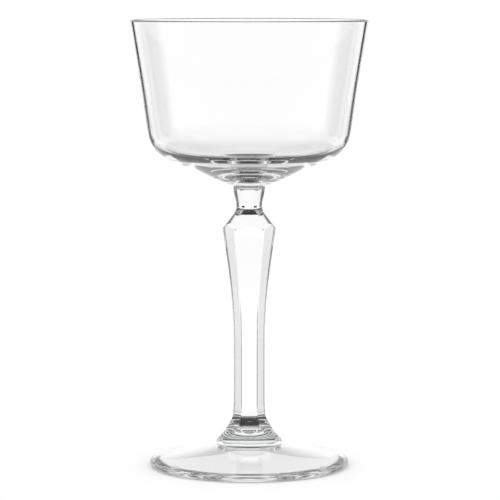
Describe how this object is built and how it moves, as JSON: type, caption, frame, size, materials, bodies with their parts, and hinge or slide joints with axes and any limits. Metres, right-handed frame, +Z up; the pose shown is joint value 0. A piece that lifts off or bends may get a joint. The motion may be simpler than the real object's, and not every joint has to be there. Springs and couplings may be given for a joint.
{
  "type": "nick and nora glass",
  "caption": "Clear stemmed cocktail glass with a flared, round-cornered bowl, a waisted stem with long flats and a low conical foot.",
  "frame": {"origin": "centre of the foot on the surface that the glass stands on", "axes": "+Z up along the axis of the bowl, stem and foot; a flat of the stem faces -Y"},
  "size_m": [0.0838, 0.0838, 0.1583],
  "materials": {
    "blown_glass": "clear, fire-polished",
    "pressed_glass": "clear, pressed and polished"
  },
  "bodies": {
    "root": {"bowl": "blown_glass", "stem": "pressed_glass", "foot": "pressed_glass"}
  },
  "joints": []
}
